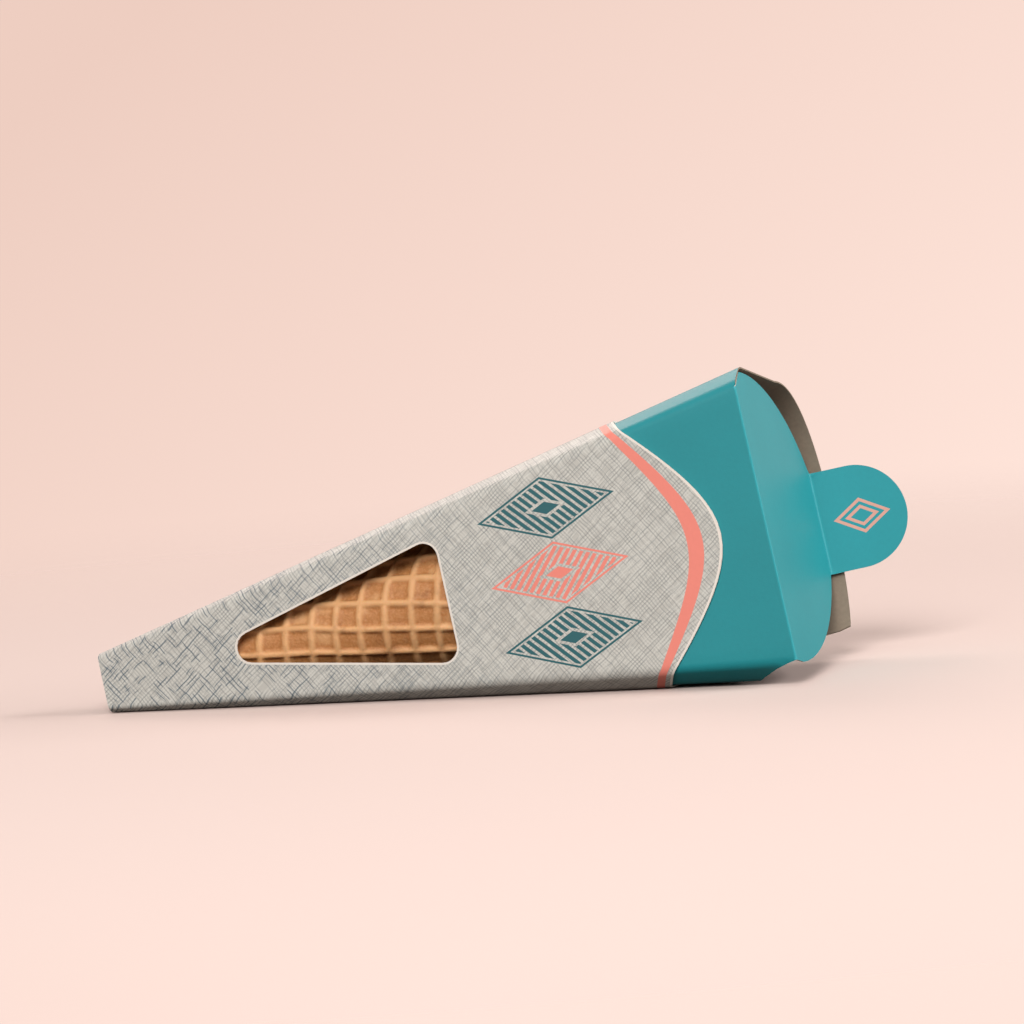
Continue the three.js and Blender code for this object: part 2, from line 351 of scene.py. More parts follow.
def sheet_mesh(name, blank, inner, outer, edge_share, materials):
    """A cut blank as a board sheet: an outer skin, an inner skin and the edge between them."""
    places, faces, pale = blank
    verts, flat, local = [], [], []
    for offset in (outer, inner):
        for around, s in places:
            point = rolled(around, s, offset(around))
            verts.append(tuple(world(*point)))
            flat.append((*flat_place(around, s), 0.0))
            local.append(point)
    polygons, rim = two_skins(faces, len(places))
    mesh = bpy.data.meshes.new(name)
    mesh.from_pydata(verts, [], polygons)
    shares = [CORE if bare else FACE for bare in pale] + [BACK] * len(faces)
    shares += [edge_share(places[a], places[b]) for a, b in rim]
    mesh.polygons.foreach_set("material_index", shares)
    store_vectors(mesh, "blank", flat)
    store_vectors(mesh, "place", local)
    return finish_mesh(name, mesh, materials)


SMOOTH_ANGLE = math.radians(35)


def put_in_scene(name, data):
    obj = bpy.data.objects.new(name, data)
    bpy.context.scene.collection.objects.link(obj)
    return obj


def finish_mesh(name, mesh, materials, has_edges=True):
    """Smooth faces, the materials in the order of the faces' numbers. Board keeps its edges."""
    mesh.validate()
    mesh.polygons.foreach_set("use_smooth", [True] * len(mesh.polygons))
    if has_edges:
        mesh.set_sharp_from_angle(angle=SMOOTH_ANGLE)
    for material in materials:
        mesh.materials.append(material)
    return put_in_scene(name, mesh)


print("edges sharper than", round(math.degrees(SMOOTH_ANGLE)), "degrees stay sharp")

# %% [markdown]
# ## The window
#
# The window is a triangle with round corners, its point towards the narrow end. The same outline
# cuts the sleeve and, a little larger, the carton behind it. Arcs of the corner radius join the
# straight sides, and the straight sides are divided so that they follow the rolled board.

# %% Window outline
WINDOW_POINT = 27.2 * MM
WINDOW_BASE = 108.1 * MM
WINDOW_HALF_WIDTH = 18.3 * MM
WINDOW_RADIUS = 4.4 * MM
WINDOW_MARGIN = 1.2 * MM
CORNER_STEPS = 8


def window_loop(margin):
    """The window as (around, s) places, its sides moved out by margin."""
    tips = [
        Vector((WINDOW_POINT, 0)),
        Vector((WINDOW_BASE, -WINDOW_HALF_WIDTH)),
        Vector((WINDOW_BASE, WINDOW_HALF_WIDTH)),
    ]
    arcs = []
    for i, tip in enumerate(tips):
        to_previous = (tips[i - 1] - tip).normalized()
        to_next = (tips[(i + 1) % 3] - tip).normalized()
        half_angle = to_previous.angle(to_next) / 2
        inward = (to_previous + to_next).normalized()
        centre = tip + inward * (WINDOW_RADIUS / math.sin(half_angle))
        middle = math.atan2(-inward.y, -inward.x)
        reach = math.pi / 2 - half_angle
        for step in range(CORNER_STEPS + 1):
            angle = middle - reach + 2 * reach * step / CORNER_STEPS
            ray = Vector((math.cos(angle), math.sin(angle)))
            arcs.append(centre + ray * (WINDOW_RADIUS + margin))
    loop = []
    for a, b in zip(arcs, arcs[1:] + arcs[:1]):
        steps = max(1, round((b - a).length / ROW_STEP))
        loop += [a.lerp(b, step / steps) for step in range(steps)]
    return [(p.y / scale_at(p.x), p.x) for p in loop]


print("points round the window:", len(window_loop(0)))

# %% [markdown]
# ## Shader helpers
#
# Every material here is made of the same small moves: read a place on the board, do some sums,
# mix two colours. Short helpers keep the materials readable, and a small class turns sums that are
# written as in Python into math nodes. A finish that several materials share goes into a node
# group, with its own inputs, so each material sets its own values.

# %% Node helpers
def fill(tree, node, inputs):
    """Links or sets each named input of a node."""
    for name, value in inputs.items():
        if isinstance(value, Value):
            value = value.socket
        if isinstance(value, bpy.types.NodeSocket):
            tree.links.new(value, node.inputs[name])
        else:
            node.inputs[name].default_value = value


def add_node(tree, kind, inputs=None, **settings):
    node = tree.nodes.new(kind)
    for name, value in settings.items():
        setattr(node, name, value)
    fill(tree, node, inputs or {})
    return node


class Value:
    """An output of a node. A sum written with it becomes math nodes."""

    def __init__(self, tree, socket):
        self.tree, self.socket = tree, socket

    def math(self, operation, *others, **settings):
        inputs = dict(enumerate((self, *others)))
        node = add_node(self.tree, "ShaderNodeMath", inputs, operation=operation, **settings)
        return Value(self.tree, node.outputs[0])

    def step(self, low, high):
        """0 at low and 1 at high, with a smooth step between."""
        node = add_node(self.tree, "ShaderNodeMapRange", {"Value": self, 1: low, 2: high},
                        interpolation_type="SMOOTHSTEP")
        return Value(self.tree, node.outputs[0])

    def __add__(self, other):
        return self.math("ADD", other)

    def __sub__(self, other):
        return self.math("SUBTRACT", other)

    def __rsub__(self, other):
        node = add_node(self.tree, "ShaderNodeMath", {0: other, 1: self}, operation="SUBTRACT")
        return Value(self.tree, node.outputs[0])

    def __mul__(self, other):
        return self.math("MULTIPLY", other)

    def __truediv__(self, other):
        return self.math("DIVIDE", other)

    def __abs__(self):
        return self.math("ABSOLUTE")

    def __lt__(self, other):
        return self.math("LESS_THAN", other)

    def __gt__(self, other):
        return self.math("GREATER_THAN", other)


def mix_colour(tree, factor, a, b, blend="MIX"):
    return add_node(tree, "ShaderNodeMix", {0: factor, 6: a, 7: b},
                    data_type="RGBA", blend_type=blend).outputs[2]


def noise_node(tree, place, scale, detail, **settings):
    inputs = {"Vector": place, "Scale": scale, "Detail": detail}
    return Value(tree, add_node(tree, "ShaderNodeTexNoise", inputs, **settings).outputs[0])


def bump_from(tree, height, strength, distance):
    inputs = {"Height": height, "Strength": strength, "Distance": distance}
    return add_node(tree, "ShaderNodeBump", inputs).outputs[0]


def object_place(tree):
    return tree.nodes.new("ShaderNodeTexCoord").outputs["Object"]


def attribute(tree, name):
    return add_node(tree, "ShaderNodeAttribute", attribute_name=name).outputs["Vector"]


def parts_of(tree, vector):
    parts = add_node(tree, "ShaderNodeSeparateXYZ", {0: vector}).outputs
    return [Value(tree, part) for part in parts]


def srgb(red, green, blue):
    """A colour as seen on a screen, from 0 to 255, in the renderer's linear values."""
    def linear(value):
        value /= 255
        return value / 12.92 if value <= 0.04045 else ((value + 0.055) / 1.055) ** 2.4
    return (linear(red), linear(green), linear(blue), 1.0)


def new_material(name):
    material = bpy.data.materials.new(name)
    material.use_nodes = True
    tree = material.node_tree
    return material, tree, tree.nodes["Principled BSDF"]


def new_group(name, inputs, outputs):
    """An empty node group, the values given to it and its output node."""
    group = bpy.data.node_groups.new(name, "ShaderNodeTree")
    for socket_name, kind, value in inputs:
        socket = group.interface.new_socket(name=socket_name, in_out="INPUT", socket_type=kind)
        socket.default_value = value
    for socket_name, kind in outputs:
        group.interface.new_socket(name=socket_name, in_out="OUTPUT", socket_type=kind)
    given = {s.name: Value(group, s) for s in group.nodes.new("NodeGroupInput").outputs if s.name}
    return group, given, group.nodes.new("NodeGroupOutput")


def place_group(tree, group, inputs):
    return add_node(tree, "ShaderNodeGroup", inputs, node_tree=group).outputs


# %% [markdown]
# ## Shared finish: paper grain
#
# Printed board is never one flat tone. The ink soaks in unevenly, and the surface has a fine tooth
# from the pulp. One group gives both: a slow change of tone, and a height for the bump.

# %% The paper grain group
MOTTLE_SCALE = 38.0
SPECK_SCALE = 900.0
SPECK_SHARE = 0.6
MEAN_TONE = 0.8
FIBRE_SCALE = 2200.0


def make_paper_grain():
    group, given, out = new_group(
        "Paper grain",
        [
            ("Colour", "NodeSocketColor", (0.5, 0.5, 0.5, 1)),
            ("Mottle", "NodeSocketFloat", 0.06),
            ("Fibre scale", "NodeSocketFloat", FIBRE_SCALE),
        ],
        [("Colour", "NodeSocketColor"), ("Height", "NodeSocketFloat")],
    )
    coords = object_place(group)
    speck = noise_node(group, coords, SPECK_SCALE, detail=2.0)
    tone = noise_node(group, coords, MOTTLE_SCALE, detail=3.0) + speck * SPECK_SHARE
    change = (tone - MEAN_TONE) * given["Mottle"] + 1.0
    grey = add_node(group, "ShaderNodeCombineColor", {0: change, 1: change, 2: change}).outputs[0]
    fill(group, out, {
        "Colour": mix_colour(group, 1.0, given["Colour"], grey, "MULTIPLY"),
        "Height": noise_node(group, coords, given["Fibre scale"], detail=2.0),
    })
    return group


paper_grain = make_paper_grain()
print("group:", paper_grain.name)

# %% [markdown]
# ## Teal board
#
# The carton is printed in one solid teal with a soft satin coat. Its cut edges show the pale core,
# and its inner face is bare brown-grey board. The lid is the same teal, but it catches more light.

# %% Carton materials
TEAL = srgb(30, 138, 145)
BARE_BOARD = srgb(126, 112, 96)
BOARD_CORE = srgb(232, 222, 210)
TOOTH_HEIGHT = 0.00006


def coat(tree, surface, colour, mottle, tooth, roughness, specular):
    """Paper grain in and under the ink, and the shine of the coat over it."""
    grain = place_group(tree, paper_grain, {"Colour": colour, "Mottle": mottle})
    fill(tree, surface, {
        "Base Color": grain["Colour"],
        "Normal": bump_from(tree, grain["Height"], tooth, TOOTH_HEIGHT),
        "Roughness": roughness,
        "Specular IOR Level": specular,
    })


def printed_board(name, colour, roughness, mottle):
    material, tree, surface = new_material(name)
    coat(tree, surface, colour, mottle, tooth=0.25, roughness=roughness, specular=0.4)
    return material


teal_board = printed_board("Teal board", TEAL, roughness=0.42, mottle=0.16)
bare_board = printed_board("Bare board", BARE_BOARD, roughness=0.85, mottle=0.5)
board_core = printed_board("Board core", BOARD_CORE, roughness=0.8, mottle=0.2)
print("materials:", [board.name for board in (teal_board, bare_board, board_core)])

# %% [markdown]
# ## The sleeve's print
#
# The sleeve has a warm grey ground with a linen hatch: fine broken threads in two directions. A
# coral stripe follows the curved end, and the front has a row of three hatched rhombi, a common
# argyle figure. All of it is worked out from the place on the board, so the print goes round the
# folds as ink on a flat blank does.

# %% The sleeve's curved end
SLEEVE_APEX = 190.8 * MM
EDGE_CURVE = 25 * MM
EDGE_SLOPE = 1.15


def edge_at(w):
    return SLEEVE_APEX - (math.hypot(EDGE_CURVE, EDGE_SLOPE * w) - EDGE_CURVE)


print("the sleeve ends in the middle at", round(edge_at(0) / MM, 1), "mm")

# %% Thread group for the linen hatch
WOBBLE_SCALE = 260.0
WOBBLE = 0.0009
LANE_STRIDE = 7.31
BREAK_LOW, BREAK_HIGH = 0.97, 1.05
LINE_CORE, LINE_FADE = 0.4, 1.6


def make_threads():
    """Broken threads along one direction of the blank."""
    group, given, out = new_group(
        "Linen threads",
        [
            ("Blank", "NodeSocketVector", (0, 0, 0)),
            ("Turn", "NodeSocketFloat", 0.0),
            ("Spacing", "NodeSocketFloat", 0.001),
            ("Length", "NodeSocketFloat", 0.01),
            ("Share", "NodeSocketFloat", 0.5),
            ("Width", "NodeSocketFloat", 0.3),
        ],
        [("Mask", "NodeSocketFloat")],
    )
    turned = add_node(group, "ShaderNodeVectorRotate", {
        "Vector": given["Blank"], "Angle": given["Turn"],
    }, rotation_type="Z_AXIS").outputs[0]
    along, across, _ = parts_of(group, turned)
    wobble = noise_node(group, given["Blank"], WOBBLE_SCALE, detail=1.0) * WOBBLE
    lane = (across + wobble) / given["Spacing"]
    stitch = add_node(group, "ShaderNodeCombineXYZ", {
        0: along / given["Length"], 1: lane.math("FLOOR") * LANE_STRIDE,
    }).outputs[0]
    breaks = noise_node(group, stitch, scale=1.0, detail=1.0, noise_dimensions="2D")
    there = breaks.step(BREAK_LOW - given["Share"], BREAK_HIGH - given["Share"])
    half = given["Width"] * 0.5
    from_middle = abs(lane.math("FRACT") - 0.5)
    line = 1.0 - from_middle.step(half * LINE_CORE, half * LINE_FADE)
    fill(group, out, {"Mask": line * there})
    return group


threads = make_threads()
print("group:", threads.name)

# %% The rhombus row
FIGURE_CENTRE = 142.5 * MM
RHOMBUS_HALF_LENGTH = 21 * MM
RHOMBUS_HALF_WIDTH = 9.0 * MM
RHOMBUS_SPACING = 18.6 * MM
STROKE_SPACING = 2.5 * MM
STROKE_SOLID, STROKE_END = 0.26, 0.33
STROKE_SLOPE = 0.9
HATCH_REACH = 0.86
OUTLINE_REACH, OUTLINE_HALF = 0.955, 0.035
CLEAR_REACH, HEART_REACH = 0.30, 0.20


def rhombus_distance(along, across, half_length, half_width):
    """0 in the middle of a rhombus and 1 on its outline."""
    return abs(along) / half_length + abs(across) / half_width


def hatch(along, across, slope):
    """Parallel strokes with soft sides."""
    phase = ((along + across * slope) / STROKE_SPACING).math("FRACT")
    return 1.0 - abs(phase - 0.5).step(STROKE_SOLID, STROKE_END)


def rhombus_ink(along, across, index):
    """A rhombus of the row: its outline, its strokes, and a clear ring round a solid heart."""
    shifted = across - index * RHOMBUS_SPACING
    reach = rhombus_distance(along, shifted, RHOMBUS_HALF_LENGTH, RHOMBUS_HALF_WIDTH)
    strokes = hatch(along, across, STROKE_SLOPE if index else -STROKE_SLOPE)
    outline = reach.math("COMPARE", OUTLINE_REACH, OUTLINE_HALF)
    inked = ((reach < HATCH_REACH) * strokes).math("MAXIMUM", outline)
    return (inked * (1.0 - (reach < CLEAR_REACH))).math("MAXIMUM", reach < HEART_REACH)


print("rhombi cover", round((2 * RHOMBUS_SPACING + 2 * RHOMBUS_HALF_WIDTH) / MM), "mm across")

# %% The sleeve's printed face
GREIGE = srgb(192, 188, 179)
THREAD_GREY = srgb(122, 124, 122)
THREAD_BLUE = srgb(72, 92, 104)
THREAD_PALE = srgb(212, 209, 200)
CORAL = srgb(238, 136, 120)
PAPER_EDGE = srgb(236, 224, 212)
INK_TEAL = srgb(30, 92, 98)
STRIPE_INNER = 10.1 * MM
STRIPE_OUTER = 5.5 * MM
STRIPE_INNER_NARROWS = 5.0 * MM
STRIPE_OUTER_NARROWS = 3.1 * MM
STRIPE_SPREAD = 33 * MM
EDGE_LINE = 0.8 * MM
FRONT_DEPTH = 0.0004
FINE_FROM, COARSE_FROM = 0.15, 0.02
BLUE_BASE, BLUE_GAIN = 0.12, 0.85
LAYER_SHIFT = (0.013, 0.0077)

# Each layer: turn, spacing, length, share of the lanes, width, ink, strength
THREAD_LAYERS = (
    (-0.56, 0.00085, 0.014, 0.60, 0.45, THREAD_PALE, 0.7),
    (1.02, 0.00080, 0.012, 0.58, 0.45, THREAD_PALE, 0.6),
    (-0.56, 0.00095, 0.011, 0.56, 0.30, THREAD_GREY, 0.45),
    (1.02, 0.00090, 0.013, 0.56, 0.30, THREAD_GREY, 0.45),
    (-0.58, 0.00125, 0.008, 0.47, 0.27, THREAD_BLUE, 0.8),
    (1.00, 0.00120, 0.009, 0.46, 0.27, THREAD_BLUE, 0.8),
)


def linen_colour(tree, blank, along):
    """The ground with its threads. The dark ones show more towards the narrow end."""
    coarse = along.step(FINE_FROM, COARSE_FROM)
    colour = GREIGE
    for number, (turned, spacing, length, share, width, ink, strength) in enumerate(THREAD_LAYERS):
        shift = (LAYER_SHIFT[0] * number, LAYER_SHIFT[1] * number, 0)
        shifted = add_node(tree, "ShaderNodeVectorMath", {0: blank, 1: shift}, operation="ADD")
        mask = place_group(tree, threads, {
            "Blank": shifted.outputs[0], "Turn": turned, "Spacing": spacing,
            "Length": length, "Share": share, "Width": width,
        })["Mask"]
        weight = Value(tree, mask) * strength
        if ink is THREAD_BLUE:
            weight = weight * (coarse * BLUE_GAIN + BLUE_BASE)
        colour = mix_colour(tree, weight, colour, ink)
    return colour


def make_sleeve_print():
    material, tree, surface = new_material("Sleeve print")
    along, depth, across = parts_of(tree, attribute(tree, "place"))
    colour = linen_colour(tree, attribute(tree, "blank"), along)
    for index, ink in ((-1, INK_TEAL), (1, INK_TEAL), (0, CORAL)):
        inked = rhombus_ink(along - FIGURE_CENTRE, across, index) * (depth < FRONT_DEPTH)
        colour = mix_colour(tree, inked, colour, ink)

    slope_w = across * EDGE_SLOPE
    drop = (slope_w * slope_w + EDGE_CURVE ** 2).math("SQRT") - EDGE_CURVE
    to_edge = SLEEVE_APEX - drop - along
    spread = across / STRIPE_SPREAD
    aside = (spread * spread).math("MINIMUM", 1.0)
    inner_side = STRIPE_INNER - aside * STRIPE_INNER_NARROWS
    outer_side = STRIPE_OUTER - aside * STRIPE_OUTER_NARROWS
    stripe = (to_edge < inner_side) * (to_edge > outer_side)
    colour = mix_colour(tree, stripe, colour, CORAL)
    colour = mix_colour(tree, to_edge < EDGE_LINE, colour, PAPER_EDGE)
    coat(tree, surface, colour, mottle=0.10, tooth=0.3, roughness=0.42, specular=0.5)
    return material


sleeve_print = make_sleeve_print()
print("material:", sleeve_print.name)

# %% [markdown]
# ## The sleeve
#
# The sleeve is one blank that goes once round and laps over itself on the back, where it is glued.
# Its columns run from one side of the lap to the other. The part on top stands one board higher,
# so the lap shows as a real step.

# %% Build the sleeve
LAP_HALF = 7.6 * MM
LAP_RAMP = 1.2 * MM
PRESSED_RIM = 0.6 * MM
SETTLE_START = 0.85
SETTLE_ROUNDS = 12


def settle(around, offset, ending):
    """Where a rolled blank ends, when its end is a rule for d and w."""
    s = CARTON_LENGTH * SETTLE_START
    for _ in range(SETTLE_ROUNDS):
        _, d, w = rolled(around, s, offset)
        s = ending(d, w)
    return s


def front_columns():
    """Columns across the flat front panel, between its two folds."""
    low = max(a for a in round_at if a < -MM)
    high = min(a for a in round_at if a > MM)
    return evenly(low, high, round((high - low) / ROW_STEP))


def side_columns():
    """Columns across the flat sides, which have none of their own."""
    made = []
    for a, b in zip(round_at, round_at[1:]):
        if b - a > 2 * ROW_STEP and not a < 0 < b:
            made += evenly(a, b, round((b - a) / ROW_STEP))
    return made


def sleeve_columns():
    under = [-HALF_ROUND - LAP_HALF, -HALF_ROUND - LAP_HALF / 2]
    over = [HALF_ROUND + LAP_HALF / 2, HALF_ROUND + LAP_HALF]
    return sorted(under + list(round_at) + front_columns() + side_columns() + over)


def sleeve_outer(around):
    lap = max(0.0, min(1.0, (around - (HALF_ROUND - LAP_HALF - LAP_RAMP)) / LAP_RAMP))
    return RUNNING_GAP + BOARD + lap * BOARD


def sleeve_inner(around):
    return sleeve_outer(around) - BOARD


print("columns on the sleeve:", len(sleeve_columns()))


def build_sleeve():
    columns = sleeve_columns()
    ends = {a: settle(a, RUNNING_GAP + BOARD, lambda d, w: edge_at(w)) for a in columns}
    blank = cut_blank(columns, 0.0, lambda a: ends[a], window_loop(0), window_loop(PRESSED_RIM))
    return sheet_mesh("printed_sleeve", blank, sleeve_inner, sleeve_outer, lambda a, b: CORE,
                      (sleeve_print, board_core, board_core))


sleeve = build_sleeve()
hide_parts("sleeve")
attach(sleeve, "pack")
print("sleeve faces:", len(sleeve.data.polygons))

# %% [markdown]
# ## The carton
#
# The teal tube is cut and rolled in the same way. Its end is straight at the mouth, set back a
# little under the lid's crease, and cut away in a round thumb notch in the lower side.

# %% Build the carton
NOTCH_CENTRE = 32 * MM
NOTCH_HALF = 31.6 * MM
NOTCH_INNER = 20 * MM
NOTCH_REACH = 21 * MM
TIP_SETBACK = 0.4 * MM
SEAM_GAP = 0.12 * MM
CREASE_RADIUS = 0.6 * MM


def carton_end(d, w):
    if w < -NOTCH_INNER and abs(d - NOTCH_CENTRE) < NOTCH_HALF:
        share = (d - NOTCH_CENTRE) / NOTCH_HALF
        return CARTON_LENGTH - NOTCH_REACH * math.sqrt(max(0.0, 1 - share * share))
    if d < BOARD:
        return CARTON_LENGTH - CREASE_RADIUS
    return CARTON_LENGTH


def carton_edge(a, b):
    """The crease at the front panel's end is printed teal. The pale core shows in the window."""
    if min(a[1], b[1]) < CARTON_LENGTH / 2:
        return CORE
    at_crease = abs(a[0]) < HALF_MOUTH and abs(b[0]) < HALF_MOUTH
    return FACE if at_crease and min(a[1], b[1]) > CARTON_LENGTH - MM else BACK


def build_carton():
    edge = HALF_ROUND - SEAM_GAP
    inner = [a for a in round_at if abs(a) < edge]
    columns = sorted([-edge] + inner + front_columns() + side_columns() + [edge])
    ends = {a: settle(a, -BOARD / 2, carton_end) for a in columns}
    blank = cut_blank(columns, TIP_SETBACK, lambda a: ends[a], window_loop(WINDOW_MARGIN),
                      window_loop(WINDOW_MARGIN + PRESSED_RIM))
    return sheet_mesh("teal_carton", blank, lambda a: -BOARD, lambda a: 0.0, carton_edge,
                      (teal_board, bare_board, board_core))


carton = build_carton()
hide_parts("carton")
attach(carton, "pack")
print("carton faces:", len(carton.data.polygons))

# %% [markdown]
# ## The narrow end
#
# The tube is closed at its narrow end by a small folded-in panel. It is a plate with the section's
# outline, one board thick.

# %% Build the end panel
def build_end_panel():
    verts = []
    for s in (TIP_SETBACK, TIP_SETBACK + BOARD):
        verts += [tuple(world(s, p.x, p.y)) for p in section_at(s, -BOARD)[:-1]]
    count = len(verts) // 2
    faces = [tuple(range(count)), tuple(range(2 * count - 1, count - 1, -1))]
    faces += [(i, count + i, count + (i + 1) % count, (i + 1) % count) for i in range(count)]
    mesh = bpy.data.meshes.new("end_panel")
    mesh.from_pydata(verts, [], faces)
    return finish_mesh("end_panel", mesh, [teal_board])


end_panel = build_end_panel()
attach(end_panel, "pack")
print("end panel faces:", len(end_panel.data.polygons))

# %% [markdown]
# ## The lid and its tab
#
# The lid is a flat panel with a round edge, and the tab is folded out of it. It starts as a flat
# outline again, and each point is then placed along a path: down the crease, across the mouth and
# out along the tab, with a small bend at each fold.

# %% Lid outline on the flat
LID_EAR_DEPTH = 7 * MM
LID_SIDE_GAP = 0.6 * MM
LID_REACH = 74 * MM
LID_FULLNESS = 1.85
LID_SINK = math.radians(1.3)
TAB_WIDTH = 30 * MM
TAB_LENGTH = 25.5 * MM
TAB_BEND = 1.1 * MM
LID_BOW = 1.5 * MM
LOWER_SHARE = 0.92
CREASE_START = CREASE_RADIUS * (1 - math.pi / 2)
LID_STEPS = 60
TAB_STEPS = 28

ear_width = flare_at(LID_EAR_DEPTH) - BOARD - LID_SIDE_GAP
tab_share = 1 - (TAB_WIDTH / 2 / ear_width) ** LID_FULLNESS
TAB_DEPTH = LID_EAR_DEPTH + (LID_REACH - LID_EAR_DEPTH) * tab_share ** (1 / LID_FULLNESS)


def lid_outline():
    """Half of the lid and tab as (t, w), t from the crease to the tab's end."""
    points = [(CREASE_START, HALF_MOUTH - BOARD - LID_SIDE_GAP),
              (CREASE_RADIUS, HALF_MOUTH - BOARD - LID_SIDE_GAP)]
    for step in range(LID_STEPS + 1):
        angle = step / LID_STEPS * math.pi / 2
        across = ear_width * max(0.0, math.cos(angle)) ** (2 / LID_FULLNESS)
        if across <= TAB_WIDTH / 2:
            break
        reach = (LID_REACH - LID_EAR_DEPTH) * math.sin(angle) ** (2 / LID_FULLNESS)
        points.append((LID_EAR_DEPTH + reach, across))
    points.append((TAB_DEPTH, TAB_WIDTH / 2))
    centre = TAB_DEPTH + TAB_LENGTH - TAB_WIDTH / 2
    for step in range(TAB_STEPS + 1):
        angle = math.pi / 2 * (1 - step / TAB_STEPS)
        points.append((centre + TAB_WIDTH / 2 * math.cos(angle), TAB_WIDTH / 2 * math.sin(angle)))
    return points


print("the tab starts at", round(TAB_DEPTH / MM, 1), "mm on the lid")

# %% The lid's print
MARK_CENTRE = 12.3 * MM
MARK_REACH = 8.4 * MM
MARK_SHAPE = 0.62
MARK_LINE = 0.1
MARK_OUTER, MARK_INNER = 0.9, 0.5
ROSE_FOIL = srgb(206, 150, 134)


def make_lid_print():
    """Teal, with two nested rhombus outlines on the tab."""
    material, tree, surface = new_material("Lid board")
    down, across, _ = parts_of(tree, attribute(tree, "place"))
    along = down - (TAB_DEPTH + MARK_CENTRE)
    reach = rhombus_distance(along, across, MARK_REACH, MARK_REACH * MARK_SHAPE)
    outer = reach.math("COMPARE", MARK_OUTER, MARK_LINE)
    inked = outer.math("MAXIMUM", reach.math("COMPARE", MARK_INNER, MARK_LINE))
    colour = mix_colour(tree, inked, TEAL, ROSE_FOIL)
    coat(tree, surface, colour, mottle=0.16, tooth=0.25, roughness=0.5, specular=0.25)
    return material


lid_board = make_lid_print()
print("material:", lid_board.name)

# %% Bend the lid
back_angle = math.atan(MOUTH_DEPTH / FULL_LENGTH)
TAB_TURN = math.pi / 2 - back_angle - LID_SINK


def lid_path(t):
    """Where the board's outer face is at t, and its direction: (s, d, angle from +d to +s)."""
    if t < CREASE_RADIUS:
        angle = -(CREASE_RADIUS - t) / CREASE_RADIUS
        s = CREASE_RADIUS * (math.cos(angle) - 1)
        return s, CREASE_RADIUS * (1 + math.sin(angle)), angle
    start = TAB_DEPTH - TAB_BEND / 2
    sunk = LID_BOW * (min(t, start) / start) ** 2
    if t <= start:
        return -sunk, t, 0.0
    share = min(1.0, (t - start) / TAB_BEND)
    angle = TAB_TURN * share
    radius = TAB_BEND / TAB_TURN
    s = radius * (1 - math.cos(angle)) - sunk
    d = start + radius * math.sin(angle)
    rest = max(0.0, t - start - TAB_BEND)
    return s + rest * math.sin(angle), d + rest * math.cos(angle), angle


def lid_point(t, w, thickness):
    s, d, angle = lid_path(t)
    s -= thickness * math.cos(angle)
    d += thickness * math.sin(angle) if t > CREASE_RADIUS else -thickness * math.sin(angle)
    sunk_s = s * math.cos(LID_SINK) - d * math.sin(LID_SINK)
    sunk_d = s * math.sin(LID_SINK) + d * math.cos(LID_SINK)
    return CARTON_LENGTH + sunk_s, sunk_d, w


print("the tab's end is at", [round(v, 3) for v in lid_point(TAB_DEPTH + TAB_LENGTH, 0, 0)])

# %% Build the lid
LID_ROW = 2.6 * MM
LID_ROWS = 38
LID_COLUMN_MM = 1.3
LID_COLUMNS = 33
LID_EDGE_CLEAR = 0.15 * MM
BEND_ROWS = 5
BEND_CLEAR = 0.3 * MM


def lid_loop():
    """The lid's whole outline on the flat. Its lower half is a little narrower."""
    half = lid_outline()
    lower = []
    for t, w in reversed(half[:-1]):
        trimmed = CREASE_RADIUS < t < TAB_DEPTH and w > TAB_WIDTH / 2
        lower.append((t, -max(TAB_WIDTH / 2, w * LOWER_SHARE) if trimmed else -w))
    outline = half + lower
    loop = []
    for a, b in zip(outline, outline[1:] + outline[:1]):
        steps = max(1, round(math.hypot(b[0] - a[0], b[1] - a[1]) / LID_ROW))
        loop += [(a[0] + (b[0] - a[0]) * i / steps, a[1] + (b[1] - a[1]) * i / steps)
                 for i in range(steps)]
    return loop


def lid_rows():
    """Rows across the lid, close together in its two bends."""
    crease = CREASE_RADIUS - CREASE_START
    rows = [TAB_DEPTH - TAB_BEND / 2 + TAB_BEND * i / BEND_ROWS for i in range(BEND_ROWS + 1)]
    rows += [TAB_DEPTH - TAB_BEND / 2 - BEND_CLEAR, TAB_DEPTH + TAB_BEND / 2 + BEND_CLEAR]
    rows += [CREASE_START + crease * i / BEND_ROWS for i in range(1, BEND_ROWS + 1)]
    rows += [CREASE_RADIUS + BEND_CLEAR]
    return rows + [LID_ROW * i for i in range(1, LID_ROWS)]


def build_lid():
    loop = lid_loop()
    points = list(loop)
    for t in lid_rows():
        for step in range(-LID_COLUMNS, LID_COLUMNS + 1):
            place = (t, step * LID_COLUMN_MM * MM)
            if inside(place, loop) and nearest(place, loop) > LID_EDGE_CLEAR:
                points.append(place)
    places, faces = triangulate(points, loop_edges(loop))
    verts, local = [], []
    for thickness in (0.0, BOARD):
        for t, w in places:
            verts.append(tuple(world(*lid_point(t, w, thickness))))
            local.append((t, w, 0.0))
    polygons, rim = two_skins(faces, len(places))
    mesh = bpy.data.meshes.new("lid_panel")
    mesh.from_pydata(verts, [], polygons)
    shares = [FACE] * len(faces) + [BACK] * len(faces)
    shares += [FACE if max(places[a][0], places[b][0]) < 0 else CORE for a, b in rim]
    mesh.polygons.foreach_set("material_index", shares)
    store_vectors(mesh, "place", local)
    return finish_mesh("lid_panel", mesh, (lid_board, bare_board, board_core))


lid = build_lid()
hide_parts("lid")
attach(lid, "lid")
print("lid faces:", len(lid.data.polygons))

# %% [markdown]
# ## The waffle cone
#
# A waffle cone is a flat baked sheet rolled while it is hot. The iron leaves a square grid of
# ridges on the sheet. Rolled up, the sheet's lines become curves on the cone, so the height at
# each point is worked out on the unrolled sheet. A fine grid of vertices carries that height,
# because the ridges show in the window as real relief.

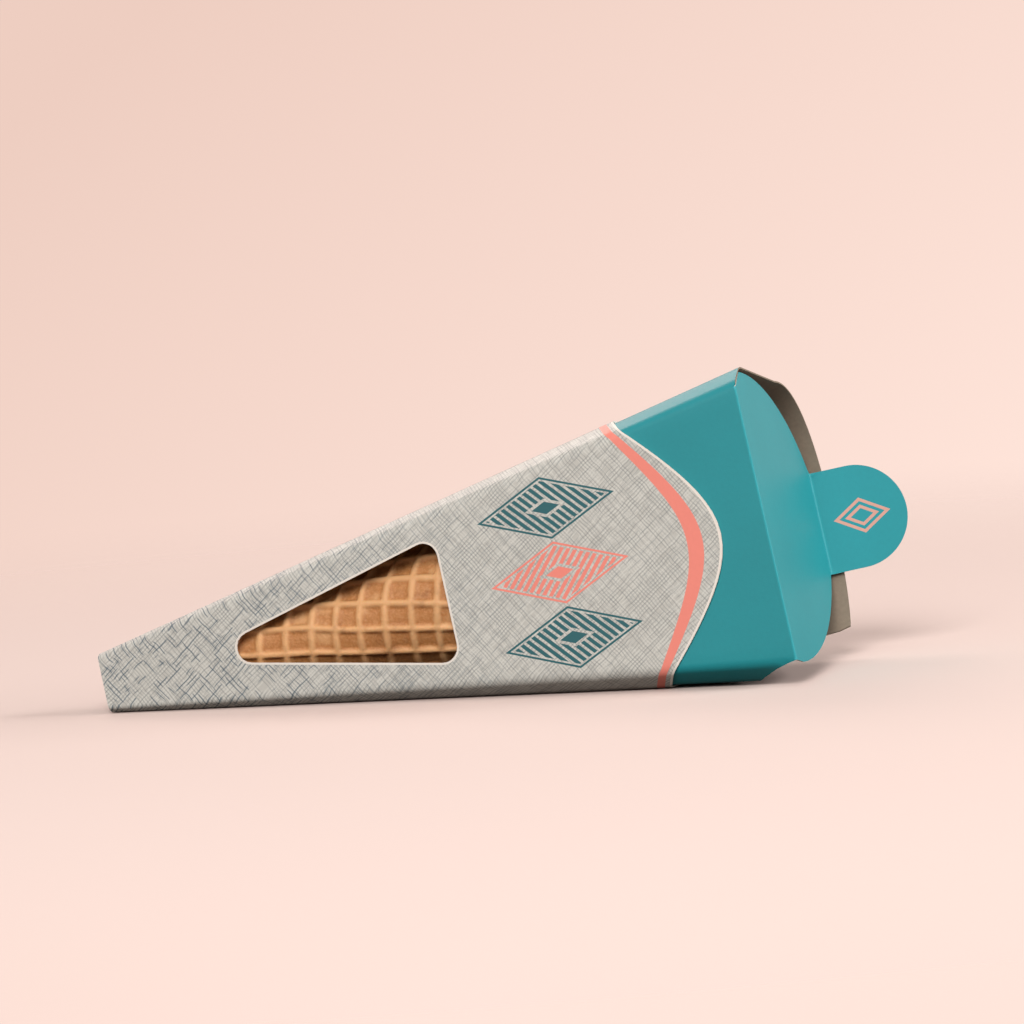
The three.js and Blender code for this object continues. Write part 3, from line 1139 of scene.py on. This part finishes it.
# %% Cone sizes
CONE_LENGTH = 155 * MM
CONE_WALL = 2.6 * MM
CONE_FRONT_GAP = 1.2 * MM
CONE_BACK_GAP = 0.3 * MM
CONE_TIP_GAP = 1.2 * MM
CONE_TIP_ROUND = 3 * MM
GRID_PITCH = 7.65 * MM
GRID_TURN = math.radians(13.1)
GRID_ANCHOR = (132.1 * MM, 1.7 * MM)
RIDGE_FLAT = 0.3 * MM
RIDGE_SLOPE = 1.35 * MM
CELL_DEPTH = 1.1 * MM
LINE_BEND_SCALE = 55
LINE_BEND = 0.7 * MM
LINE_BEND_LAYER, LINE_BEND_SHIFT = 5.7, Vector((9.1, 3.3, 0))

back_slope = MOUTH_DEPTH / FULL_LENGTH
half_angle = back_angle / 2
front_line = BOARD + CONE_FRONT_GAP
back_line = (BOARD + CONE_BACK_GAP) / math.cos(back_angle)
cone_apex = (front_line + back_line) / back_slope - APEX_DISTANCE
cone_start = (TIP_SETBACK + BOARD + CONE_TIP_GAP - cone_apex) / math.cos(half_angle)
cone_end = cone_start + CONE_LENGTH
print("cone radius at its rim:", round(cone_end * math.tan(half_angle) / MM, 1), "mm")


# %% Relief of the baked sheet
def grid_height(x, y):
    """0 on a ridge and 1 in the bottom of a cell, on the unrolled sheet."""
    height = 1.0
    bent = Vector((x * LINE_BEND_SCALE, y * LINE_BEND_SCALE, LINE_BEND_LAYER))
    x += noise.noise(bent) * LINE_BEND - GRID_ANCHOR[0]
    y += noise.noise(bent + LINE_BEND_SHIFT) * LINE_BEND - GRID_ANCHOR[1]
    u = x * math.cos(GRID_TURN) - y * math.sin(GRID_TURN)
    v = x * math.sin(GRID_TURN) + y * math.cos(GRID_TURN)
    for value in (u, v):
        inside_pitch = (value / GRID_PITCH) % 1.0
        from_ridge = min(inside_pitch, 1 - inside_pitch) * GRID_PITCH
        rise = max(0.0, min(1.0, (from_ridge - RIDGE_FLAT) / RIDGE_SLOPE))
        height = min(height, rise * rise * (3 - 2 * rise))
    return height


def cone_point(along, radius, angle):
    """(s, d, w) of a point at a distance along the cone's axis, angle 0 facing the front."""
    out = -radius * math.cos(angle)
    across = radius * math.sin(angle)
    s = cone_apex + along * math.cos(half_angle) - out * math.sin(half_angle)
    d = front_line + along * math.sin(half_angle) + out * math.cos(half_angle)
    return s, d, across


print("ridges are", round(GRID_PITCH / MM, 2), "mm apart, cells", round(CELL_DEPTH / MM, 1), "deep")

# %% Build the cone
AROUND_STEPS = 264
ALONG_STEP = 0.8 * MM
INNER_ROWS = 40
SPREAD = math.tan(half_angle)
TIP_NARROWS, TIP_CURVE = 0.42, 2.2
TIP_RELIEF, FULL_RELIEF_RADIUS = 0.4, 9 * MM
SURFACE_SUNK = 0.17 * MM
ROUGH, ROUGH_SCALE, ROUGH_LAYER = 0.12 * MM, 160, 3.1
FINE, FINE_SCALE, FINE_LAYER = 0.05 * MM, 700, 8.4
WAVE, WAVE_AROUND, WAVE_ALONG = 0.15 * MM, 3, 60
RIM_SOFTENED, RIM_LOWERED = 0.5 * MM, 0.1 * MM
TIP_LOW, INSIDE_LOW = 0.2, 0.5


def sheet_noise(x, y, scale, layer):
    """A smooth unevenness between -1 and 1 on the unrolled sheet."""
    return noise.noise(Vector((x * scale, y * scale, layer)))


def outer_point(along, angle):
    """A point on the baked outside, and how low it lies in a cell."""
    radius = along * SPREAD
    from_tip = along - cone_start
    if from_tip < CONE_TIP_ROUND:
        radius *= 1 - TIP_NARROWS * (1 - from_tip / CONE_TIP_ROUND) ** TIP_CURVE
    slant = along / math.cos(half_angle)
    fan = angle * math.sin(half_angle)
    x, y = slant * math.cos(fan), slant * math.sin(fan)
    low = grid_height(x, y)
    relief = TIP_RELIEF + (1 - TIP_RELIEF) * min(1.0, radius / FULL_RELIEF_RADIUS)
    rough = sheet_noise(x, y, ROUGH_SCALE, ROUGH_LAYER) * ROUGH
    fine = sheet_noise(x, y, FINE_SCALE, FINE_LAYER) * FINE
    sunk = low * CELL_DEPTH * relief + SURFACE_SUNK + rough + fine
    return cone_point(along, radius - sunk, angle), low


def inner_point(row, angle):
    """A point on the inside, in rows from the rim down."""
    along = cone_end - (CONE_LENGTH - CONE_TIP_ROUND - CONE_WALL) * row / INNER_ROWS
    radius = along * SPREAD - CONE_WALL / math.cos(half_angle)
    if row == 0:
        radius += RIM_SOFTENED
        along -= RIM_LOWERED
    place = Vector((math.cos(angle) * WAVE_AROUND, math.sin(angle) * WAVE_AROUND,
                    along * WAVE_ALONG))
    return cone_point(along, radius + WAVE * noise.noise(place), angle)


def build_cone():
    rows = round(CONE_LENGTH / ALONG_STEP)
    angles = [2 * math.pi * step / AROUND_STEPS - math.pi for step in range(AROUND_STEPS)]
    verts, relief = [], []
    for row in range(rows + 1):
        for angle in angles:
            point, low = outer_point(cone_start + CONE_LENGTH * row / rows, angle)
            verts.append(tuple(world(*point)))
            relief.append(low)
    for row in range(INNER_ROWS + 1):
        verts += [tuple(world(*inner_point(row, angle))) for angle in angles]
    tip = len(verts)
    verts.append(tuple(world(*cone_point(cone_start, 0.0, 0.0))))
    bottom = cone_start + CONE_TIP_ROUND + CONE_WALL
    verts.append(tuple(world(*cone_point(bottom, 0.0, 0.0))))
    relief += [INSIDE_LOW] * (tip - len(relief)) + [TIP_LOW, INSIDE_LOW]

    pairs = [(step, (step + 1) % AROUND_STEPS) for step in range(AROUND_STEPS)]
    last = tip - AROUND_STEPS
    faces = [(ring + a, ring + b, ring + AROUND_STEPS + b, ring + AROUND_STEPS + a)
             for ring in range(0, last, AROUND_STEPS) for a, b in pairs]
    faces += [(tip, b, a) for a, b in pairs]
    faces += [(tip + 1, last + a, last + b) for a, b in pairs]
    mesh = bpy.data.meshes.new("waffle")
    mesh.from_pydata(verts, [], faces)
    store_vectors(mesh, "relief", [(low, 0.0, 0.0) for low in relief])
    return finish_mesh("baked_cone", mesh, [make_wafer()], has_edges=False)


# %% Wafer material
# The cell colour holds painted shade of the recesses as well as the wafer's browner bake.
WAFER_RIDGE = srgb(226, 170, 116)
WAFER_CELL_BAKE_AND_SHADE = srgb(184, 122, 68)
WAFER_DARK = srgb(120, 66, 30)
WAFER_PALE = srgb(236, 186, 132)
PATCH_SCALE, PATCH_SHARE = 110.0, 0.9
BAKE_AND_SHADE_START, BAKE_AND_SHADE_FULL = 0.05, 0.95
CRUMB_SCALE = 1300.0
CRUMB_BUMP, CRUMB_HEIGHT = 0.5, 0.0004

# Each tint: where it starts and is full, its strength and its colour
PATCH_TINTS = ((0.56, 0.78, 0.7, WAFER_DARK), (0.46, 0.28, 0.5, WAFER_PALE))
CRUMB_TINT = (0.35, 0.75, 0.3, WAFER_RIDGE)


def make_wafer():
    """Pale ridges, cells darker by a browner bake and painted shade, scorched and pale patches,
    crumbs.
    """
    material, tree, surface = new_material("Baked wafer")
    low, _, _ = parts_of(tree, attribute(tree, "relief"))
    coords = object_place(tree)
    patches = noise_node(tree, coords, PATCH_SCALE, detail=5.0)
    crumbs = noise_node(tree, coords, CRUMB_SCALE, detail=4.0)
    # Darker down in the cells: partly the wafer's browner bake, partly painted shade of the
    # recesses.
    baked = (low + (patches - 0.5) * PATCH_SHARE).step(BAKE_AND_SHADE_START, BAKE_AND_SHADE_FULL)
    colour = mix_colour(tree, baked, WAFER_RIDGE, WAFER_CELL_BAKE_AND_SHADE)
    tints = [(patches, *tint) for tint in PATCH_TINTS] + [(crumbs, *CRUMB_TINT)]
    for value, start, full, strength, tint in tints:
        colour = mix_colour(tree, value.step(start, full) * strength, colour, tint)
    fill(tree, surface, {
        "Base Color": colour,
        "Normal": bump_from(tree, crumbs, CRUMB_BUMP, CRUMB_HEIGHT),
        "Roughness": 0.62,
        "Subsurface Weight": 0.12,
        "Subsurface Radius": (0.004, 0.002, 0.001),
    })
    return material


cone = build_cone()
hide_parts("waffle_cone")
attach(cone, "pack")
print("cone faces:", len(cone.data.polygons))

# %% [markdown]
# ## Camera
#
# The photograph is taken from low down with a long lens, a little to the right of the front
# panel, and slightly tipped. The camera's place is given as angles round a point above the floor.

# %% Place the camera
CAMERA_AZIMUTH = math.radians(17.5)
CAMERA_ELEVATION = math.radians(4.5)
CAMERA_ROLL = math.radians(-4.43)
CAMERA_DISTANCE = 1.5
CAMERA_TARGET = Vector((0.00443, 0.0, 0.04926))
FOCAL_PIXELS = 5199
IMAGE_PIXELS = 1024
SENSOR = 36.0
CLIP_RANGE = (0.05, 20)


def place_camera():
    data = bpy.data.cameras.new("camera")
    camera = put_in_scene("camera", data)
    bpy.context.scene.camera = camera
    level = math.cos(CAMERA_ELEVATION)
    back = Vector((math.sin(CAMERA_AZIMUTH) * level, -math.cos(CAMERA_AZIMUTH) * level,
                   math.sin(CAMERA_ELEVATION)))
    right = (-back).cross(Vector((0, 0, 1))).normalized()
    up = back.cross(right)
    tipped_right = right * math.cos(CAMERA_ROLL) + up * math.sin(CAMERA_ROLL)
    tipped_up = up * math.cos(CAMERA_ROLL) - right * math.sin(CAMERA_ROLL)
    turned = Matrix((tipped_right, tipped_up, back)).transposed().to_4x4()
    camera.matrix_world = Matrix.Translation(CAMERA_TARGET + back * CAMERA_DISTANCE) @ turned
    data.sensor_width = SENSOR
    data.lens = FOCAL_PIXELS / IMAGE_PIXELS * SENSOR
    data.clip_start, data.clip_end = CLIP_RANGE
    return camera


camera = place_camera()
print("lens:", round(camera.data.lens, 1), "mm")

# %% [markdown]
# ## Floor, background and light
#
# The background is a pale peach, a little darker on the left, with no line where the floor ends.
# The world shows that colour to the camera, and the floor fades into it away from the pack. Two
# large lamps do most of the work, one high in front and one on the mouth's side, both far away so
# that the light is even. Two weak ones are above and behind on the left, and a little even light
# comes from all round.

# %% Stage
PEACH = srgb(255, 228, 217)
PEACH_SHADE = srgb(238, 206, 193)
GRADIENT_ASIDE = (3.15, 0.99, -4.5)
GRADIENT_MIDDLE = 0.31
FLOOR_PEACH = srgb(225, 202, 193)
FLOOR_BOUNCE = srgb(112, 100, 94)
FLOOR_SIZE = 1.6
FADE_START, FADE_END = 0.22, 0.75


def make_floor():
    mesh = bpy.data.meshes.new("floor")
    signs = ((-1, -1), (1, -1), (1, 1), (-1, 1))
    mesh.from_pydata([(x * FLOOR_SIZE, y * FLOOR_SIZE, 0) for x, y in signs], [], [(0, 1, 2, 3)])
    floor = put_in_scene("floor", mesh)
    material, tree, surface = new_material("Floor paper")
    path = tree.nodes.new("ShaderNodeLightPath").outputs["Is Camera Ray"]
    fill(tree, surface, {
        "Base Color": mix_colour(tree, path, FLOOR_BOUNCE, FLOOR_PEACH),
        "Roughness": 0.9,
        "Specular IOR Level": 0.2,
    })
    away = add_node(tree, "ShaderNodeVectorMath", {0: object_place(tree)}, operation="LENGTH")
    fade = Value(tree, away.outputs["Value"]).step(FADE_START, FADE_END)
    clear = tree.nodes.new("ShaderNodeBsdfTransparent").outputs[0]
    mixed = add_node(tree, "ShaderNodeMixShader", {0: fade, 1: surface.outputs[0], 2: clear})
    fill(tree, tree.nodes["Material Output"], {"Surface": mixed.outputs[0]})
    mesh.materials.append(material)
    return floor


floor = make_floor()
print("floor:", [round(2 * FLOOR_SIZE, 1)] * 2, "metres")

# %% World
AMBIENT = (1.0, 0.99, 0.98, 1.0)
AMBIENT_STRENGTH = 0.18


def make_world():
    made = bpy.data.worlds.new("studio")
    bpy.context.scene.world = made
    made.use_nodes = True
    tree = made.node_tree
    shown = tree.nodes["Background"]
    way = tree.nodes.new("ShaderNodeTexCoord").outputs["Generated"]
    aside = add_node(tree, "ShaderNodeVectorMath", {0: way, 1: GRADIENT_ASIDE},
                     operation="DOT_PRODUCT").outputs["Value"]
    brighter = Value(tree, aside).math("ADD", GRADIENT_MIDDLE, use_clamp=True)
    backdrop = mix_colour(tree, brighter, PEACH_SHADE, PEACH)
    fill(tree, shown, {"Color": backdrop, "Strength": 1.0})
    lit = add_node(tree, "ShaderNodeBackground", {"Color": AMBIENT, "Strength": AMBIENT_STRENGTH})
    path = tree.nodes.new("ShaderNodeLightPath").outputs
    seen = Value(tree, path["Is Camera Ray"])
    for ray in ("Is Glossy Ray", "Is Transmission Ray"):
        seen = seen.math("MAXIMUM", path[ray])
    mixed = add_node(tree, "ShaderNodeMixShader", {0: seen, 1: lit.outputs[0],
                                                   2: shown.outputs[0]})
    fill(tree, tree.nodes["World Output"], {"Surface": mixed.outputs[0]})
    return made


print("world:", make_world().name)

# %% Lamps
LAMP_AIM = Vector((0.0, 0.0, 0.04))

# Each lamp: name, place, size, power, colour
LAMPS = (
    ("top_light", (0.1, -0.15, 1.35), 1.0, 1.8, (1.0, 0.99, 0.98)),
    ("back_light", (-0.57, 0.77, 0.9), 0.7, 4.2, (1.0, 0.88, 0.83)),
    ("mouth_light", (2.4, 0.25, 0.95), 1.4, 60.0, (1.0, 1.0, 1.0)),
    ("front_light", (0.35, -2.2, 1.55), 1.4, 65.0, (1.0, 1.0, 1.0)),
)


def add_lamp(name, place, size, power, colour):
    data = bpy.data.lights.new(name, "AREA")
    data.shape = "DISK"
    data.size = size
    data.energy = power
    data.color = colour
    lamp = put_in_scene(name, data)
    lamp.location = place
    lamp.rotation_euler = (LAMP_AIM - Vector(place)).to_track_quat("-Z", "Y").to_euler()


for lamp in LAMPS:
    add_lamp(*lamp)
bpy.context.scene.view_settings.view_transform = "Standard"
print("lamps:", [lamp[0] for lamp in LAMPS])
